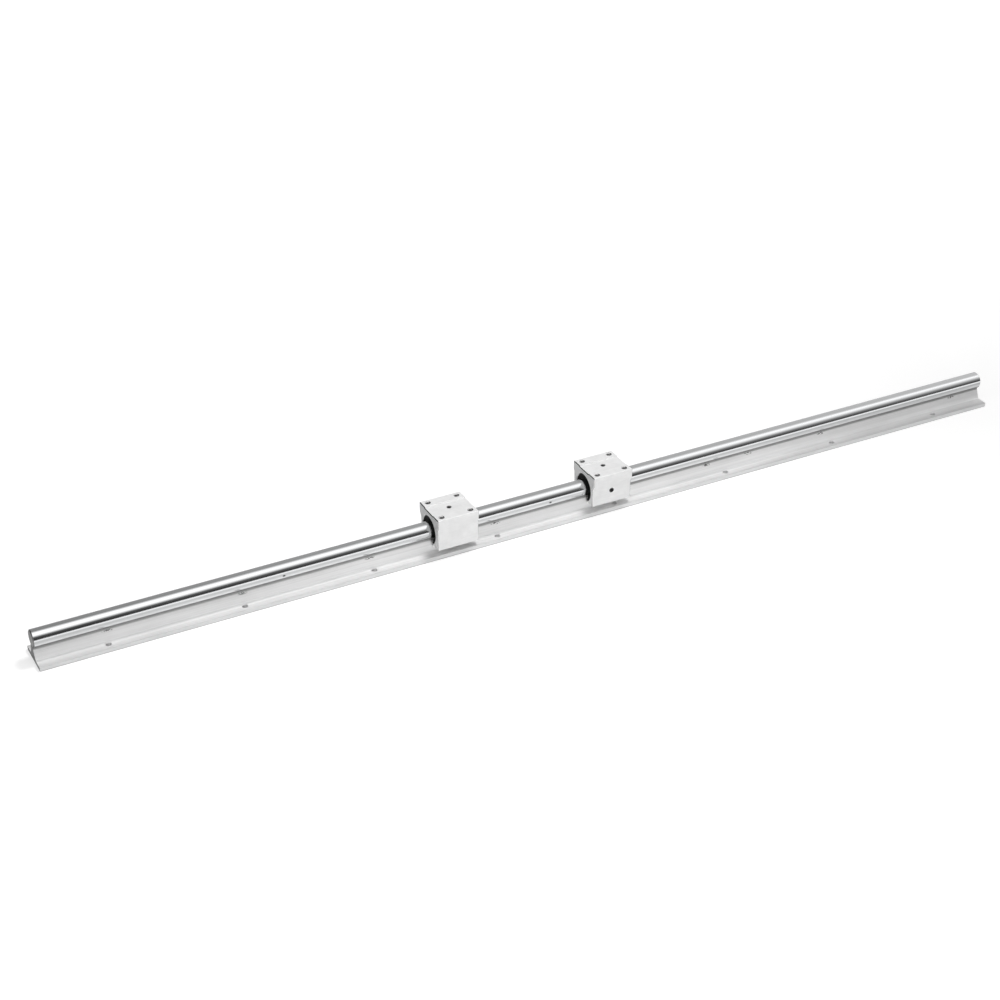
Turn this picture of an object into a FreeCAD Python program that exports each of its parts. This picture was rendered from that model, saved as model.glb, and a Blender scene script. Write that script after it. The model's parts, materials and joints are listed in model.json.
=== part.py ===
import FreeCAD, Part
import math
import os
import Sketcher

# Supported round rail with two open pillow-block carriages, in millimetres.
# Frame: +X along the rail, +Y across it, +Z up, origin under the middle of the support's base.

SIZES = [
    # guide shaft
    ("rail_length", 1200),
    ("shaft_diameter", 20),
    ("shaft_height", 27),
    ("shaft_chamfer", 1),
    # aluminium support
    ("stem_foot_width", 17),
    ("flange_width", 14),
    ("flange_thickness", 5),
    ("neck_height", 1.3),
    ("cradle_depth", 0.7),
    ("cradle_lip", 0.5),
    ("foot_fillet", 2.5),
    ("flange_edge_fillet", 0.6),
    # columns of holes along the rail
    ("column_pitch", 150),
    ("flange_hole_inset", 6.5),
    ("flange_hole_diameter", 5.5),
    ("flange_hole_chamfer", 0.3),
    # screws that hold the shaft down
    ("cap_screw_diameter", 6),
    ("cap_screw_engagement", 9.5),
    ("cap_screw_head_diameter", 10),
    ("cap_screw_head_height", 6),
    ("cap_screw_head_recess", 0.5),
    ("cap_screw_socket", 5),
    ("cap_screw_socket_depth", 3),
    ("cap_screw_chamfer", 0.4),
    ("cap_screw_clearance", 0.3),
    ("counterbore_clearance", 0.5),
    ("tapped_hole_spare", 2),
    # carriage housing
    ("left_carriage_position", -126.5),
    ("right_carriage_position", 68),
    ("block_length", 50),
    ("roof_thickness", 7),
    ("shoulder_thickness", 11),
    ("plain_side_wall", 6.5),
    ("plain_side_overhang", 1.5),
    ("plain_side_slope", 1.5),
    ("screw_side_wall", 4.5),
    ("screw_side_overhang", 3.5),
    ("screw_side_slope", 6),
    ("top_pad_width", 13.5),
    ("channel_depth", 1),
    ("opening_half_angle", 30),
    ("block_edge_fillet", 1),
    ("block_end_chamfer", 0.8),
    # mounting holes on the housing's top
    ("top_hole_from_side", 6.5),
    ("top_hole_from_end", 7.5),
    ("top_hole_diameter", 5),
    ("top_hole_depth", 12),
    ("top_hole_chamfer", 0.8),
    # open ball bushing
    ("bushing_diameter", 32),
    ("ball_diameter", 3.175),
    ("ball_gap", 0.125),
    ("ball_row_end", 6),
    ("rows_in_full_circle", 5),
    ("cage_clearance", 0.35),
    ("seal_thickness", 3.5),
    ("seal_recess", 0.5),
    # set screws of the housing
    ("set_screw_diameter", 5),
    ("set_screw_socket", 2.5),
    ("set_screw_socket_share", 0.45),
    ("set_screw_chamfer", 0.4),
    ("lock_screw_recess", 1.5),
    ("preload_screw_recess", 1),
    # clearances
    ("running_clearance", 0.05),
    ("seat_clearance", 0.05),
]

# Values worked out from the sizes, as expressions.
# Rail:
HALF_LENGTH = "sizes.rail_length / 2"
SHAFT_RADIUS = "(sizes.shaft_diameter / 2)"
SHAFT_UNDERSIDE = f"(sizes.shaft_height - {SHAFT_RADIUS})"
SUPPORT_TOP = f"({SHAFT_UNDERSIDE} + sizes.cradle_depth)"
CONTACT = f"sqrt({SHAFT_RADIUS} ^ 2 - ({SHAFT_RADIUS} - sizes.cradle_depth) ^ 2)"
HALF_NECK = f"({CONTACT} + sizes.cradle_lip)"
HALF_FOOT = "(sizes.stem_foot_width / 2)"
HALF_BASE = f"({HALF_FOOT} + sizes.flange_width)"
FLANGE_HOLE = f"({HALF_FOOT} + sizes.flange_hole_inset)"
COLUMNS = "floor(sizes.rail_length / sizes.column_pitch)"
COLUMN_SPAN = f"({COLUMNS} - 1) * sizes.column_pitch"
FIRST_COLUMN = f"-{COLUMN_SPAN} / 2"
COUNTERBORE_DEPTH = "(sizes.cap_screw_head_height + sizes.cap_screw_head_recess)"
COUNTERBORE = "sizes.cap_screw_head_diameter + 2 * sizes.counterbore_clearance"
CAP_HOLE = "sizes.cap_screw_diameter + 2 * sizes.cap_screw_clearance"
CAP_SHANK = "sizes.cap_screw_diameter - 2 * sizes.seat_clearance"
CAP_LENGTH = f"{SHAFT_UNDERSIDE} - {COUNTERBORE_DEPTH} + sizes.cap_screw_engagement"
# Carriage, from the shaft's axis:
BUSHING_RADIUS = "(sizes.bushing_diameter / 2)"
BORE = "sizes.bushing_diameter + 2 * sizes.seat_clearance"
BLOCK_TOP = f"({BUSHING_RADIUS} + sizes.roof_thickness)"
SHOULDER = f"({BLOCK_TOP} - sizes.shoulder_thickness)"
CHANNEL_FLOOR = f"({BLOCK_TOP} - sizes.channel_depth)"
PLAIN_SIDE = f"({BUSHING_RADIUS} + sizes.plain_side_wall)"
PLAIN_EDGE = f"({PLAIN_SIDE} + sizes.plain_side_overhang)"
SCREW_SIDE = f"({BUSHING_RADIUS} + sizes.screw_side_wall)"
SCREW_EDGE = f"({SCREW_SIDE} + sizes.screw_side_overhang)"
BUSHING_LENGTH = "(sizes.block_length - 2 * (sizes.seal_thickness + sizes.seal_recess))"
CAGE_INNER = "sizes.shaft_diameter + 2 * sizes.cage_clearance"
BALL_TRACK = f"({SHAFT_RADIUS} + sizes.running_clearance + sizes.ball_diameter / 2)"
CAGE_OUTER = ("(sizes.shaft_diameter"
              " + 2 * (sizes.running_clearance + sizes.ball_diameter + sizes.seat_clearance))")
SLEEVE_INNER = f"({CAGE_OUTER} + 2 * sizes.seat_clearance)"
SEAL_INNER = "sizes.shaft_diameter + 2 * sizes.running_clearance"
ROW_STEP = "360 / sizes.rows_in_full_circle"
BALL_PITCH = "(sizes.ball_diameter + sizes.ball_gap)"
BALLS_IN_ROW = f"floor(({BUSHING_LENGTH} - 2 * sizes.ball_row_end) / {BALL_PITCH})"
TRACK_LENGTH = f"{BALLS_IN_ROW} * {BALL_PITCH}"
TRACK_WIDTH = "(sizes.ball_diameter + 2 * sizes.seat_clearance)"
SET_HOLE = "sizes.set_screw_diameter + 2 * sizes.seat_clearance"

doc = FreeCAD.newDocument("supported_rail")
sheet = doc.addObject("Spreadsheet::Sheet", "sizes")
for row, (name, size) in enumerate(SIZES, start=1):
    sheet.set(f"A{row}", name)
    sheet.set(f"B{row}", str(size))
    sheet.setAlias(f"B{row}", name)
doc.recompute()


def value(expression):
    """The number that an expression of the sizes gives."""
    result = sheet.evalExpression(expression)
    return float(getattr(result, "Value", result))


# ---- sketches ----

def new_body(label, x="0", z="0"):
    """An empty body with its label, its origin lifted and moved along the rail."""
    body = doc.addObject("PartDesign::Body", label)
    body.Label = label
    body.setExpression("Placement.Base.x", x)
    body.setExpression("Placement.Base.z", z)
    return body


def new_sketch(body, name, role, lift=None):
    """A sketch on one of the body's own origin planes, lifted along the plane's normal."""
    sketch = body.newObject("Sketcher::SketchObject", f"{body.Name}_{name}")
    plane = next(item for item in body.Origin.OriginFeatures if item.Role == role)
    sketch.AttachmentSupport = [(plane, "")]
    sketch.MapMode = "FlatFace"
    if lift:
        sketch.setExpression("AttachmentOffset.Base.z", lift)
    return sketch


def pin(sketch, geometry, point, x, y):
    """Tie a point of a sketch to coordinates given as expressions."""
    for kind, text, axis in (("DistanceX", x, -2), ("DistanceY", y, -1)):
        if text == "0":
            sketch.addConstraint(Sketcher.Constraint("PointOnObject", geometry, point, axis))
            continue
        limit = Sketcher.Constraint(kind, -1, 1, geometry, point, value(text))
        sketch.setExpression(f"Constraints[{sketch.addConstraint(limit)}]", text)


def outline(sketch, points):
    """Draw a closed outline of straight lines through the points."""
    spots = [FreeCAD.Vector(value(x), value(y), 0) for x, y in points]
    lines = []
    for start, end in zip(spots, spots[1:] + spots[:1]):
        lines.append(sketch.addGeometry(Part.LineSegment(start, end), False))
    for line, following, (x, y) in zip(lines, lines[1:] + lines[:1], points):
        sketch.addConstraint(Sketcher.Constraint("Coincident", line, 2, following, 1))
        pin(sketch, line, 1, x, y)


def circle(sketch, x, y, diameter):
    """Draw a circle of a given diameter."""
    centre = FreeCAD.Vector(value(x), value(y), 0)
    ring = sketch.addGeometry(Part.Circle(centre, FreeCAD.Vector(0, 0, 1), value(diameter) / 2), False)
    pin(sketch, ring, 3, x, y)
    limit = Sketcher.Constraint("Diameter", ring, value(diameter))
    sketch.setExpression(f"Constraints[{sketch.addConstraint(limit)}]", diameter)


def hexagon(sketch, across_flats):
    """Draw a hexagon about the sketch's origin."""
    corner = f"({across_flats}) / sqrt(3)"
    half = f"({across_flats}) / 2"
    outline(sketch, [(corner, "0"), (f"{corner} / 2", half), (f"-{corner} / 2", half),
                     (f"-{corner}", "0"), (f"-{corner} / 2", f"-{half}"), (f"{corner} / 2", f"-{half}")])


# ---- features ----

def pad(body, name, sketch, length, symmetric=False, reverse=False):
    """Add material from a sketch."""
    feature = body.newObject("PartDesign::Pad", f"{body.Name}_{name}")
    feature.Profile = sketch
    feature.setExpression("Length", length)
    feature.SideType = "Symmetric" if symmetric else "One side"
    feature.Reversed = reverse
    sketch.Visibility = False
    return feature


def pocket(body, name, sketch, length=None, symmetric=False, reverse=False):
    """Cut material away; a pocket that takes nothing away is an error."""
    feature = body.newObject("PartDesign::Pocket", f"{body.Name}_{name}")
    feature.Profile = sketch
    feature.SideType = "Symmetric" if symmetric else "One side"
    feature.Reversed = reverse
    if length:
        feature.setExpression("Length", length)
    else:
        feature.Type = "ThroughAll"
    need_less(feature)
    return feature


def need_less(feature):
    """Recompute, and stop if the feature has removed nothing."""
    doc.recompute()
    before = feature.BaseFeature.Shape.Volume
    after = feature.Shape.Volume
    if not after < before - 1e-6:
        raise RuntimeError(f"{feature.Name} removes nothing")


def line_pattern(body, name, feature):
    """Repeat a feature at every column of the rail."""
    pattern = body.newObject("PartDesign::LinearPattern", f"{body.Name}_{name}")
    pattern.Originals = [feature]
    axis = next(item for item in body.Origin.OriginFeatures if item.Role == "X_Axis")
    pattern.Direction = (axis, [""])
    pattern.setExpression("Length", COLUMN_SPAN)
    pattern.setExpression("Occurrences", COLUMNS)
    body.Tip = pattern
    doc.recompute()
    return pattern


def soften(body, name, kind, size, wanted):
    """Fillet or chamfer the edges of the body's tip that a test picks out."""
    doc.recompute()
    base = body.Tip
    picked = [f"Edge{i}" for i, edge in enumerate(base.Shape.Edges, start=1) if wanted(edge)]
    if not picked:
        raise RuntimeError(f"{body.Label}: no edges for {name}")
    feature = body.newObject(f"PartDesign::{kind}", f"{body.Name}_{name}")
    feature.Base = (base, picked)
    feature.setExpression("Radius" if kind == "Fillet" else "Size", size)
    doc.recompute()
    return feature


def near(a, b):
    """Whether two numbers are the same place."""
    return abs(a - b) < 1e-4


def runs_along(edge, y, z):
    """Whether an edge is a straight one along X at a given y and z."""
    ends = [vertex.Point for vertex in edge.Vertexes]
    if len(ends) != 2 or near(ends[0].x, ends[1].x):
        return False
    return all(near(end.y, y) and near(end.z, z) for end in ends)


def lies_at_x(edge, *places):
    """Whether an edge lies in one of the planes x = place."""
    box = edge.BoundBox
    return any(near(box.XMin, place) and near(box.XMax, place) for place in places)


def is_rim(edge, radius, z):
    """Whether an edge is a full circle of a given radius in the plane z."""
    box = edge.BoundBox
    if not (near(box.ZMin, z) and near(box.ZMax, z)):
        return False
    return isinstance(edge.Curve, Part.Circle) and near(edge.Curve.Radius, radius)


# ---- rail ----

def make_shaft():
    """Round bar with chamfered ends and tapped holes along its underside."""
    body = new_body("guide_shaft", z="sizes.shaft_height")
    section = new_sketch(body, "section", "YZ_Plane")
    circle(section, "0", "0", "sizes.shaft_diameter")
    pad(body, "bar", section, "sizes.rail_length", symmetric=True)
    end = value(HALF_LENGTH)
    soften(body, "end_chamfers", "Chamfer", "sizes.shaft_chamfer", lambda edge: lies_at_x(edge, end, -end))
    hole = new_sketch(body, "tapped_hole", "XY_Plane", lift=f"-{SHAFT_RADIUS}")
    circle(hole, FIRST_COLUMN, "0", "sizes.cap_screw_diameter")
    depth = "sizes.cap_screw_engagement + sizes.tapped_hole_spare"
    cut = pocket(body, "tapped_hole_cut", hole, depth, reverse=True)
    line_pattern(body, "tapped_holes", cut)
    return body


def make_support():
    """Extruded support: base flanges, tapering stem and a round cradle, with its holes."""
    body = new_body("support_rail")
    section = new_sketch(body, "section", "YZ_Plane")
    right = [(HALF_BASE, "0"), (HALF_BASE, "sizes.flange_thickness"), (HALF_FOOT, "sizes.flange_thickness"),
             (HALF_NECK, f"{SUPPORT_TOP} - sizes.neck_height"), (HALF_NECK, SUPPORT_TOP)]
    left = [(f"-{y}", z) for y, z in reversed(right)]
    outline(section, right + left)
    pad(body, "extrusion", section, "sizes.rail_length", symmetric=True)

    cradle = new_sketch(body, "cradle", "YZ_Plane")
    circle(cradle, "0", "sizes.shaft_height", "sizes.shaft_diameter")
    pocket(body, "cradle_cut", cradle, "sizes.rail_length * 1.1", symmetric=True)

    base_edge = value(HALF_BASE)
    foot_edge = value(HALF_FOOT)
    flange_top = value("sizes.flange_thickness")
    soften(body, "foot_fillets", "Fillet", "sizes.foot_fillet",
           lambda edge: any(runs_along(edge, y, flange_top) for y in (foot_edge, -foot_edge)))
    soften(body, "flange_edges", "Fillet", "sizes.flange_edge_fillet",
           lambda edge: any(runs_along(edge, y, flange_top) for y in (base_edge, -base_edge)))

    flange = new_sketch(body, "flange_holes", "XY_Plane")
    for side in ("", "-"):
        circle(flange, FIRST_COLUMN, f"{side}{FLANGE_HOLE}", "sizes.flange_hole_diameter")
    cut = pocket(body, "flange_hole_cut", flange, "sizes.flange_thickness * 2", symmetric=True)
    line_pattern(body, "flange_hole_columns", cut)

    seat = new_sketch(body, "counterbore", "XY_Plane")
    circle(seat, FIRST_COLUMN, "0", COUNTERBORE)
    cut = pocket(body, "counterbore_cut", seat, f"{COUNTERBORE_DEPTH} * 2", symmetric=True)
    line_pattern(body, "counterbores", cut)

    way = new_sketch(body, "screw_way", "XY_Plane")
    circle(way, FIRST_COLUMN, "0", CAP_HOLE)
    cut = pocket(body, "screw_way_cut", way, f"{SUPPORT_TOP} * 2", symmetric=True)
    line_pattern(body, "screw_ways", cut)

    rim = value("sizes.flange_hole_diameter") / 2
    soften(body, "flange_hole_rims", "Chamfer", "sizes.flange_hole_chamfer",
           lambda edge: is_rim(edge, rim, flange_top))
    return body


def make_cap_screw(number):
    """Socket-head cap screw, head down, that clamps the shaft into its cradle."""
    column = f"{FIRST_COLUMN} + {number - 1} * sizes.column_pitch"
    body = new_body(f"shaft_screw_{number}", x=column, z=COUNTERBORE_DEPTH)
    head = new_sketch(body, "head", "XY_Plane")
    circle(head, "0", "0", "sizes.cap_screw_head_diameter")
    pad(body, "head_pad", head, "sizes.cap_screw_head_height", reverse=True)
    shank = new_sketch(body, "shank", "XY_Plane")
    circle(shank, "0", "0", CAP_SHANK)
    pad(body, "shank_pad", shank, CAP_LENGTH)
    socket = new_sketch(body, "socket", "XY_Plane", lift="-sizes.cap_screw_head_height")
    hexagon(socket, "sizes.cap_screw_socket")
    pocket(body, "socket_cut", socket, "sizes.cap_screw_socket_depth", reverse=True)
    bottom = -value("sizes.cap_screw_head_height")
    top = value(CAP_LENGTH)
    head_radius = value("sizes.cap_screw_head_diameter") / 2
    shank_radius = value(CAP_SHANK) / 2
    soften(body, "edges", "Chamfer", "sizes.cap_screw_chamfer",
           lambda edge: is_rim(edge, head_radius, bottom) or is_rim(edge, shank_radius, top))
    return body


# ---- carriage; each of its pieces has its own origin on the shaft's axis ----

def carriage_body(side, piece):
    """An empty body at a carriage's place; the left carriage is turned end for end."""
    body = new_body(f"{side}_{piece}", f"sizes.{side}_carriage_position", "sizes.shaft_height")
    if side == "left":
        body.Placement.Rotation = FreeCAD.Rotation(FreeCAD.Vector(0, 0, 1), 180)
    return body


def cut_opening(body):
    """Cut the downward wedge that lets the piece pass the rail's stem."""
    wedge = new_sketch(body, "opening", "YZ_Plane")
    depth = "sizes.bushing_diameter"
    spread = f"({depth} * tan(sizes.opening_half_angle))"
    outline(wedge, [("0", "0"), (f"-{spread}", f"-{depth}"), (spread, f"-{depth}")])
    pocket(body, "opening_cut", wedge, "sizes.block_length * 2", symmetric=True)


def make_housing(side):
    """Extruded block: shouldered sides, bore, downward opening, top channel and tapped holes."""
    body = carriage_body(side, "housing")
    section = new_sketch(body, "section", "YZ_Plane")
    plain_side = [(PLAIN_EDGE, BLOCK_TOP), (PLAIN_EDGE, SHOULDER),
                  (PLAIN_SIDE, f"{SHOULDER} - sizes.plain_side_slope"), (PLAIN_SIDE, f"-{BUSHING_RADIUS}")]
    screw_side = [(f"-{SCREW_SIDE}", f"-{BUSHING_RADIUS}"),
                  (f"-{SCREW_SIDE}", f"{SHOULDER} - sizes.screw_side_slope"),
                  (f"-{SCREW_EDGE}", SHOULDER), (f"-{SCREW_EDGE}", BLOCK_TOP)]
    outline(section, plain_side + screw_side)
    pad(body, "extrusion", section, "sizes.block_length", symmetric=True)
    bore = new_sketch(body, "bore", "YZ_Plane")
    circle(bore, "0", "0", BORE)
    pocket(body, "bore_cut", bore, "sizes.block_length * 1.1", symmetric=True)
    cut_opening(body)
    channel = new_sketch(body, "channel", "YZ_Plane")
    plain_wall = f"{PLAIN_EDGE} - sizes.top_pad_width"
    screw_wall = f"-({SCREW_EDGE} - sizes.top_pad_width)"
    above = f"{BLOCK_TOP} + sizes.channel_depth"
    outline(channel, [(screw_wall, CHANNEL_FLOOR), (plain_wall, CHANNEL_FLOOR), (plain_wall, above),
                      (screw_wall, above)])
    pocket(body, "channel_cut", channel, "sizes.block_length * 1.1", symmetric=True)

    top = value(BLOCK_TOP)
    bottom = value(f"-{BUSHING_RADIUS}")
    long_edges = [(value(PLAIN_EDGE), top), (value(f"-{SCREW_EDGE}"), top), (value(PLAIN_SIDE), bottom),
                  (value(f"-{SCREW_SIDE}"), bottom)]
    soften(body, "long_edges", "Fillet", "sizes.block_edge_fillet",
           lambda edge: any(runs_along(edge, y, z) for y, z in long_edges))
    end = value("sizes.block_length") / 2
    soften(body, "end_edges", "Chamfer", "sizes.block_end_chamfer", lambda edge: lies_at_x(edge, end, -end))

    holes = new_sketch(body, "top_holes", "XY_Plane", lift=BLOCK_TOP)
    plain_row = f"{PLAIN_EDGE} - sizes.top_hole_from_side"
    screw_row = f"-({SCREW_EDGE} - sizes.top_hole_from_side)"
    for end_sign in ("", "-"):
        along = f"{end_sign}(sizes.block_length / 2 - sizes.top_hole_from_end)"
        for across in (plain_row, screw_row):
            circle(holes, along, across, "sizes.top_hole_diameter")
    pocket(body, "top_hole_cut", holes, "sizes.top_hole_depth")
    rim = value("sizes.top_hole_diameter") / 2
    soften(body, "top_hole_rims", "Chamfer", "sizes.top_hole_chamfer", lambda edge: is_rim(edge, rim, top))

    lock = new_sketch(body, "lock_hole", "XY_Plane")
    circle(lock, "0", "0", SET_HOLE)
    pocket(body, "lock_hole_cut", lock, reverse=True)
    side_hole = new_sketch(body, "preload_hole", "XZ_Plane")
    circle(side_hole, "0", "0", SET_HOLE)
    pocket(body, "preload_hole_cut", side_hole, reverse=True)
    return body


def ring(body, outer, inner, length):
    """A straight tube about the shaft's axis, slit by the downward opening."""
    section = new_sketch(body, "section", "YZ_Plane")
    circle(section, "0", "0", outer)
    circle(section, "0", "0", inner)
    pad(body, "tube", section, length, symmetric=True)
    cut_opening(body)


def make_sleeve(side):
    """Slit steel sleeve of the ball bushing."""
    body = carriage_body(side, "bushing_sleeve")
    ring(body, "sizes.bushing_diameter", SLEEVE_INNER, BUSHING_LENGTH)
    return body


def make_cage(side):
    """Slit plastic cage, with one long slot for each row of balls."""
    body = carriage_body(side, "ball_cage")
    ring(body, CAGE_OUTER, CAGE_INNER, BUSHING_LENGTH)
    slot = new_sketch(body, "track", "XY_Plane")
    first_row = value(ROW_STEP) - 180
    slot.AttachmentOffset = FreeCAD.Placement(
        FreeCAD.Vector(), FreeCAD.Rotation(FreeCAD.Vector(1, 0, 0), first_row))
    half_length = f"({TRACK_LENGTH}) / 2"
    half_width = f"{TRACK_WIDTH} / 2"
    outline(slot, [(half_length, half_width), (f"-{half_length}", half_width),
                   (f"-{half_length}", f"-{half_width}"), (half_length, f"-{half_width}")])
    cut = pocket(body, "track_cut", slot, reverse=True)
    rows = body.newObject("PartDesign::PolarPattern", f"{body.Name}_tracks")
    rows.Originals = [cut]
    axis = next(item for item in body.Origin.OriginFeatures if item.Role == "X_Axis")
    rows.Axis = (axis, [""])
    rows.setExpression("Occurrences", "sizes.rows_in_full_circle - 1")
    rows.setExpression("Angle", f"(sizes.rows_in_full_circle - 2) * {ROW_STEP}")
    body.Tip = rows
    return body


def make_balls(side):
    """The load-carrying balls, in straight rows along the shaft."""
    radius = value("sizes.ball_diameter / 2")
    track = value(BALL_TRACK)
    pitch = value(BALL_PITCH)
    count = int(value(BALLS_IN_ROW))
    rows = int(value("sizes.rows_in_full_circle"))
    balls = []
    for row in range(1, rows):
        angle = math.radians(row * value(ROW_STEP) - 90)
        for number in range(count):
            x = (number - (count - 1) / 2) * pitch
            centre = FreeCAD.Vector(x, track * math.cos(angle), track * math.sin(angle))
            balls.append(Part.makeSphere(radius, centre))
    feature = doc.addObject("Part::Feature", f"{side}_load_balls")
    feature.Label = f"{side}_load_balls"
    feature.Shape = Part.makeCompound(balls)
    feature.setExpression("Placement.Base.x", f"sizes.{side}_carriage_position")
    feature.setExpression("Placement.Base.z", "sizes.shaft_height")
    return feature


def make_seal(side, end, outward):
    """Slit wiper ring that closes one end of the bushing."""
    body = carriage_body(side, f"{end}_seal")
    sign = "" if outward else "-"
    section = new_sketch(body, "section", "YZ_Plane", lift=f"{sign}{BUSHING_LENGTH} / 2")
    circle(section, "0", "0", "sizes.bushing_diameter")
    circle(section, "0", "0", SEAL_INNER)
    pad(body, "disc", section, "sizes.seal_thickness", reverse=not outward)
    cut_opening(body)
    return body


def make_set_screw(side, piece, tip, top, role):
    """Set screw with a hexagon socket, from its tip to its socket end along a plane's normal."""
    body = carriage_body(side, piece)
    shank = new_sketch(body, "shank", role, lift=tip)
    circle(shank, "0", "0", "sizes.set_screw_diameter")
    length = f"({top} - ({tip}))"
    pad(body, "shank_pad", shank, length)
    socket = new_sketch(body, "socket", role, lift=top)
    hexagon(socket, "sizes.set_screw_socket")
    pocket(body, "socket_cut", socket, f"{length} * sizes.set_screw_socket_share")
    radius = value("sizes.set_screw_diameter") / 2
    soften(body, "edges", "Chamfer", "sizes.set_screw_chamfer",
           lambda edge: isinstance(edge.Curve, Part.Circle) and near(edge.Curve.Radius, radius))
    return body


def make_carriage(side):
    """All the pieces of one carriage."""
    tip = f"{BUSHING_RADIUS} + sizes.seat_clearance"
    lock_head = f"({CHANNEL_FLOOR} - sizes.lock_screw_recess)"
    preload_head = f"({SCREW_SIDE} - sizes.preload_screw_recess)"
    return [
        make_housing(side),
        make_sleeve(side),
        make_cage(side),
        make_balls(side),
        make_seal(side, "outer", outward=True),
        make_seal(side, "inner", outward=False),
        make_set_screw(side, "lock_screw", tip, lock_head, "XY_Plane"),
        make_set_screw(side, "preload_screw", tip, preload_head, "XZ_Plane"),
    ]


pieces = [make_shaft(), make_support()]
pieces += [make_cap_screw(number) for number in range(1, int(value(COLUMNS)) + 1)]
pieces += make_carriage("left")
pieces += make_carriage("right")
doc.recompute()

for item in doc.Objects:
    if "Invalid" in item.State or "Error" in item.State:
        raise RuntimeError(f"{item.Name} failed: {item.State}")
for piece in pieces:
    if piece.Shape.isNull() or not piece.Shape.isValid():
        raise RuntimeError(f"{piece.Label} has no valid shape")

os.makedirs("parts", exist_ok=True)
for piece in pieces:
    piece.Shape.exportStep(f"parts/{piece.Label}.step")
    box = piece.Shape.BoundBox
    print(f"{piece.Label}: {len(piece.Shape.Solids)} solid(s), {piece.Shape.Volume:.1f} mm3, "
          f"x {box.XMin:.2f}..{box.XMax:.2f} y {box.YMin:.2f}..{box.YMax:.2f} "
          f"z {box.ZMin:.2f}..{box.ZMax:.2f}")
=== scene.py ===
import json
import math

import bmesh
import bpy
from mathutils import Matrix, Vector


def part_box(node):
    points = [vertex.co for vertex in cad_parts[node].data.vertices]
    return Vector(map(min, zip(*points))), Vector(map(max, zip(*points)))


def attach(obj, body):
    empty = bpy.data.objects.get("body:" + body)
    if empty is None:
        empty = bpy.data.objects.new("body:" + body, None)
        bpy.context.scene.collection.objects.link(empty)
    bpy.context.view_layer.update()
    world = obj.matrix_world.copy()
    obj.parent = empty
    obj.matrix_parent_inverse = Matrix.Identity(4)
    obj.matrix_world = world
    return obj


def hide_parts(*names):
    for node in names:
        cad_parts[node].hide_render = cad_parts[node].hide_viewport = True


# The looks of a supported round rail and its two open pillow-block carriages, in metres.
# Frame: +X along the rail, +Y across it, +Z up, origin under the middle of the support's base.

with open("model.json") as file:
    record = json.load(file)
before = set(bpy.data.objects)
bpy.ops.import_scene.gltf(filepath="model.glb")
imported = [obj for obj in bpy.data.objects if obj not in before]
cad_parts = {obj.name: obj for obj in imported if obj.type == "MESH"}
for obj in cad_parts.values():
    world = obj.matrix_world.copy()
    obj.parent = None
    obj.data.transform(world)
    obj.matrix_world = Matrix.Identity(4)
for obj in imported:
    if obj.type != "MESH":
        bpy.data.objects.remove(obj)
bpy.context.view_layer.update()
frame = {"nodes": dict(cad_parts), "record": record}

MM = 0.001

# ---- sizes read from the frame ----

shaft_low, shaft_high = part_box("guide_shaft")
_, support_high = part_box("support_rail")
HALF_LENGTH = shaft_high.x
SHAFT_RADIUS = (shaft_high.y - shaft_low.y) / 2
SHAFT_AXIS = shaft_low.z + SHAFT_RADIUS
HALF_BASE = support_high.y
SUPPORT_TOP = support_high.z

mounts = {mount["name"]: mount for mount in frame["record"]["mounts"]}
flange_pattern = mounts["middle_flange_holes"]
FLANGE_HOLE_Y = flange_pattern["dims"]["spacing_y_mm"] * MM / 2
FLANGE_HOLE_RADIUS = flange_pattern["dims"]["hole_r_mm"] * MM
FLANGE_TOP = flange_pattern["pos_m"][2]

cap_screws = sorted(name for name in frame["nodes"] if name.startswith("shaft_screw_"))
columns = [sum(corner.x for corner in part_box(name)) / 2 for name in cap_screws]

# ---- sizes of the meshes ----

ROUND_STEPS = 160
HOLE_STEPS = 40
CORNER_STEPS = 6
CRADLE_STEPS = 10
# Faces that turn by less than FLAT degrees are joined, and edges above CRISP degrees stay crisp.
FLAT = 0.3
CRISP = 30
WELD = 0.001 * MM
# How far a face has to turn towards X to count as an end, or as a chamfer beside one.
FACES_END = 0.95
LEANS_TO_END = 0.3
# How far a cutter stands out of the surface that it cuts.
CLEAR = 1 * MM
THREAD_CLEAR = 0.2 * MM

SHAFT_CHAMFER = 1.0 * MM

# The support's section: half widths, heights and the rounding of its corners from the base up.
HALF_FOOT = 8.5 * MM
HALF_NECK = 4.175 * MM
NECK_FOOT = SUPPORT_TOP - 1.3 * MM
BASE_ROUND = 0.2 * MM
FLANGE_ROUND = 0.6 * MM
FOOT_FILLET = 2.5 * MM
NECK_ROUND = 0.5 * MM
TOP_ROUND = 0.15 * MM

COUNTERBORE_RADIUS = 5.5 * MM
COUNTERBORE_DEPTH = 6.5 * MM
SCREW_WAY_RADIUS = 3.3 * MM
FLANGE_RIM = 0.7 * MM
NEAR_EDGE = 0.1 * MM

# M6 threads in the blocks: minor and major radius, pitch, and the shares of the pitch at which
# a groove starts, is deep, and starts to rise again.
THREAD_MINOR = 2.53 * MM
THREAD_MAJOR = 3.0 * MM
THREAD_PITCH = 1.0 * MM
GROOVE_START = 0.25
GROOVE_DEEP = 0.56
GROOVE_RISE = 0.69
MOUNT_THREAD_DEPTH = 11 * MM
MOUNT_RIM = 0.85 * MM
SET_SCREW_RIM = 0.35 * MM
# A set screw's way ends this far above the screw's foot.
SET_SCREW_SEAT = 0.5 * MM
LOCK_FACE = 49 * MM
PRELOAD_FACE = 20.5 * MM
# The faces of a hole lie within HOLE_REACH of its axis. Those of a mount hole's rim lie within RIM_REACH
# of the top as well, and the upward share of their normal is between the two values of RIM_SLOPE.
HOLE_REACH = THREAD_MINOR + MOUNT_RIM + 0.25 * MM
RIM_REACH = 0.9 * MM
RIM_SLOPE = (0.4, 0.95)

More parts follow.
